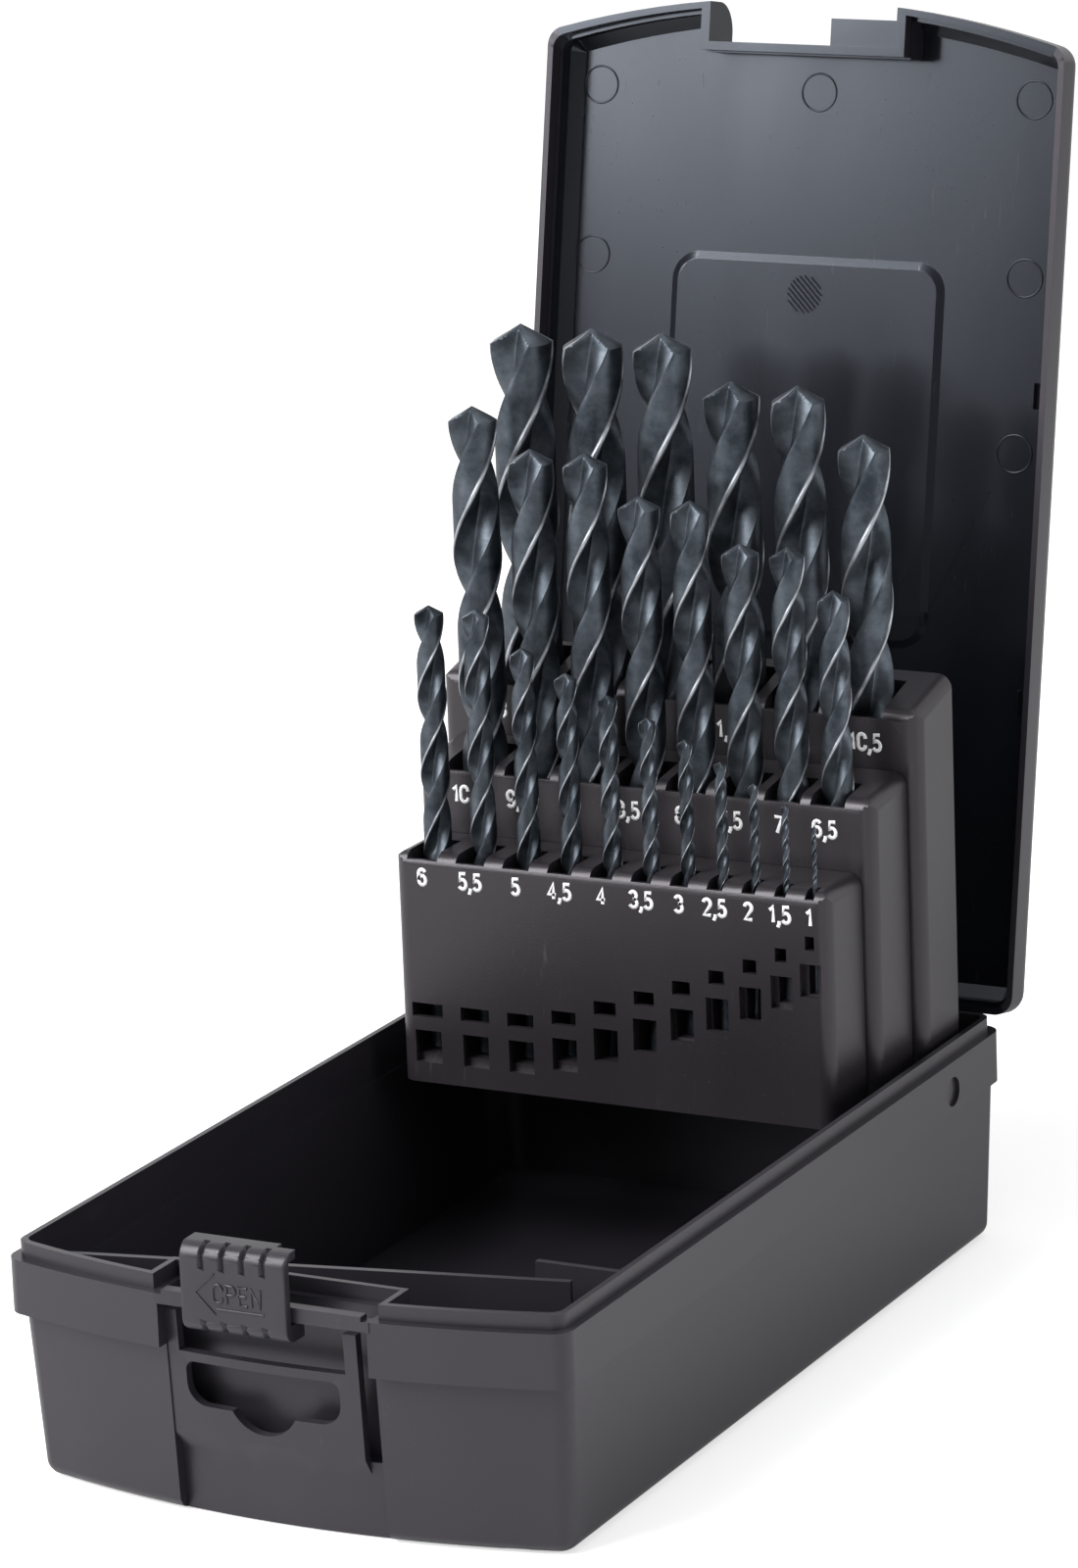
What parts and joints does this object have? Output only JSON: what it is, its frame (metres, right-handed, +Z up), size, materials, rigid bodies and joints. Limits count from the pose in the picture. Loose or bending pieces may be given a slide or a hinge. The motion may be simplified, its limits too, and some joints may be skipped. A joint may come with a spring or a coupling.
{
  "type": "drill bit case",
  "caption": "Hinged plastic case with a sliding latch; a stepped three-row holder stands twist drills upright as the lid opens and folds them flat as it closes.",
  "frame": {"origin": "middle of the tub's underside, halfway between the front corners and the rear wall", "axes": "+X along the hinge to the right as seen from the latch, +Y from the latch to the hinge, +Z up"},
  "size_m": [0.118, 0.2611, 0.2476],
  "materials": {
    "case_plastic": "black satin moulded plastic",
    "lid_plastic": "black satin moulded plastic, glossier inside",
    "latch_plastic": "black satin moulded plastic",
    "holder_plastic": "black matt moulded plastic with a fine grain",
    "drill_steel": "steam-tempered blue-black high-speed steel with bright ground edges"
  },
  "bodies": {
    "tub": {"tub": "case_plastic"},
    "lid": {"lid": "lid_plastic"},
    "latch": {"latch_slider": "latch_plastic"},
    "holder": {"holder_front": "holder_plastic", "holder_middle": "holder_plastic", "holder_rear": "holder_plastic"},
    "drill_06_0mm": {"drill_06_0mm": "drill_steel"},
    "drill_05_5mm": {"drill_05_5mm": "drill_steel"},
    "drill_05_0mm": {"drill_05_0mm": "drill_steel"},
    "drill_04_5mm": {"drill_04_5mm": "drill_steel"},
    "drill_04_0mm": {"drill_04_0mm": "drill_steel"},
    "drill_03_5mm": {"drill_03_5mm": "drill_steel"},
    "drill_03_0mm": {"drill_03_0mm": "drill_steel"},
    "drill_02_5mm": {"drill_02_5mm": "drill_steel"},
    "drill_02_0mm": {"drill_02_0mm": "drill_steel"},
    "drill_01_5mm": {"drill_01_5mm": "drill_steel"},
    "drill_01_0mm": {"drill_01_0mm": "drill_steel"},
    "drill_10_0mm": {"drill_10_0mm": "drill_steel"},
    "drill_09_5mm": {"drill_09_5mm": "drill_steel"},
    "drill_09_0mm": {"drill_09_0mm": "drill_steel"},
    "drill_08_5mm": {"drill_08_5mm": "drill_steel"},
    "drill_08_0mm": {"drill_08_0mm": "drill_steel"},
    "drill_07_5mm": {"drill_07_5mm": "drill_steel"},
    "drill_07_0mm": {"drill_07_0mm": "drill_steel"},
    "drill_06_5mm": {"drill_06_5mm": "drill_steel"},
    "drill_13_0mm": {"drill_13_0mm": "drill_steel"},
    "drill_12_5mm": {"drill_12_5mm": "drill_steel"},
    "drill_12_0mm": {"drill_12_0mm": "drill_steel"},
    "drill_11_5mm": {"drill_11_5mm": "drill_steel"},
    "drill_11_0mm": {"drill_11_0mm": "drill_steel"},
    "drill_10_5mm": {"drill_10_5mm": "drill_steel"}
  },
  "joints": [
    {"name": "holder_pivot", "type": "hinge", "parent": "tub", "child": "holder", "pos_m": [0, 0.07375, 0.0382], "axis": [-1, 0, 0], "range_deg": [-90, 0]},
    {"name": "lid_hinge", "type": "hinge", "parent": "tub", "child": "lid", "pos_m": [0, 0.10175, 0.0432], "axis": [-1, 0, 0], "range_deg": [-100.7, 0]},
    {"name": "latch_slide", "type": "slide", "parent": "tub", "child": "latch", "axis": [-1, 0, 0], "range_m": [-0.0084, 0.0038]},
    {"name": "drill_06_0mm_lift", "type": "slide", "parent": "holder", "child": "drill_06_0mm", "axis": [0, 0, 1], "range_m": [0, 0.048]},
    {"name": "drill_05_5mm_lift", "type": "slide", "parent": "holder", "child": "drill_05_5mm", "axis": [0, 0, 1], "range_m": [0, 0.048]},
    {"name": "drill_05_0mm_lift", "type": "slide", "parent": "holder", "child": "drill_05_0mm", "axis": [0, 0, 1], "range_m": [0, 0.048]},
    {"name": "drill_04_5mm_lift", "type": "slide", "parent": "holder", "child": "drill_04_5mm", "axis": [0, 0, 1], "range_m": [0, 0.0463]},
    {"name": "drill_04_0mm_lift", "type": "slide", "parent": "holder", "child": "drill_04_0mm", "axis": [0, 0, 1], "range_m": [0, 0.045]},
    {"name": "drill_03_5mm_lift", "type": "slide", "parent": "holder", "child": "drill_03_5mm", "axis": [0, 0, 1], "range_m": [0, 0.0438]},
    {"name": "drill_03_0mm_lift", "type": "slide", "parent": "holder", "child": "drill_03_0mm", "axis": [0, 0, 1], "range_m": [0, 0.0385]},
    {"name": "drill_02_5mm_lift", "type": "slide", "parent": "holder", "child": "drill_02_5mm", "axis": [0, 0, 1], "range_m": [0, 0.0382]},
    {"name": "drill_02_0mm_lift", "type": "slide", "parent": "holder", "child": "drill_02_0mm", "axis": [0, 0, 1], "range_m": [0, 0.0339]},
    {"name": "drill_01_5mm_lift", "type": "slide", "parent": "holder", "child": "drill_01_5mm", "axis": [0, 0, 1], "range_m": [0, 0.0287]},
    {"name": "drill_01_0mm_lift", "type": "slide", "parent": "holder", "child": "drill_01_0mm", "axis": [0, 0, 1], "range_m": [0, 0.0264]},
    {"name": "drill_10_0mm_lift", "type": "slide", "parent": "holder", "child": "drill_10_0mm", "axis": [0, 0, 1], "range_m": [0, 0.0668]},
    {"name": "drill_09_5mm_lift", "type": "slide", "parent": "holder", "child": "drill_09_5mm", "axis": [0, 0, 1], "range_m": [0, 0.0668]},
    {"name": "drill_09_0mm_lift", "type": "slide", "parent": "holder", "child": "drill_09_0mm", "axis": [0, 0, 1], "range_m": [0, 0.0668]},
    {"name": "drill_08_5mm_lift", "type": "slide", "parent": "holder", "child": "drill_08_5mm", "axis": [0, 0, 1], "range_m": [0, 0.0668]},
    {"name": "drill_08_0mm_lift", "type": "slide", "parent": "holder", "child": "drill_08_0mm", "axis": [0, 0, 1], "range_m": [0, 0.0668]},
    {"name": "drill_07_5mm_lift", "type": "slide", "parent": "holder", "child": "drill_07_5mm", "axis": [0, 0, 1], "range_m": [0, 0.0668]},
    {"name": "drill_07_0mm_lift", "type": "slide", "parent": "holder", "child": "drill_07_0mm", "axis": [0, 0, 1], "range_m": [0, 0.0668]},
    {"name": "drill_06_5mm_lift", "type": "slide", "parent": "holder", "child": "drill_06_5mm", "axis": [0, 0, 1], "range_m": [0, 0.0668]},
    {"name": "drill_13_0mm_lift", "type": "slide", "parent": "holder", "child": "drill_13_0mm", "axis": [0, 0, 1], "range_m": [0, 0.0875]},
    {"name": "drill_12_5mm_lift", "type": "slide", "parent": "holder", "child": "drill_12_5mm", "axis": [0, 0, 1], "range_m": [0, 0.0875]},
    {"name": "drill_12_0mm_lift", "type": "slide", "parent": "holder", "child": "drill_12_0mm", "axis": [0, 0, 1], "range_m": [0, 0.0875]},
    {"name": "drill_11_5mm_lift", "type": "slide", "parent": "holder", "child": "drill_11_5mm", "axis": [0, 0, 1], "range_m": [0, 0.0875]},
    {"name": "drill_11_0mm_lift", "type": "slide", "parent": "holder", "child": "drill_11_0mm", "axis": [0, 0, 1], "range_m": [0, 0.0875]},
    {"name": "drill_10_5mm_lift", "type": "slide", "parent": "holder", "child": "drill_10_5mm", "axis": [0, 0, 1], "range_m": [0, 0.0875]}
  ],
  "couplings": [
    {"joint": "lid_hinge", "follows": "holder_pivot", "ratio": 1.1189}
  ]
}
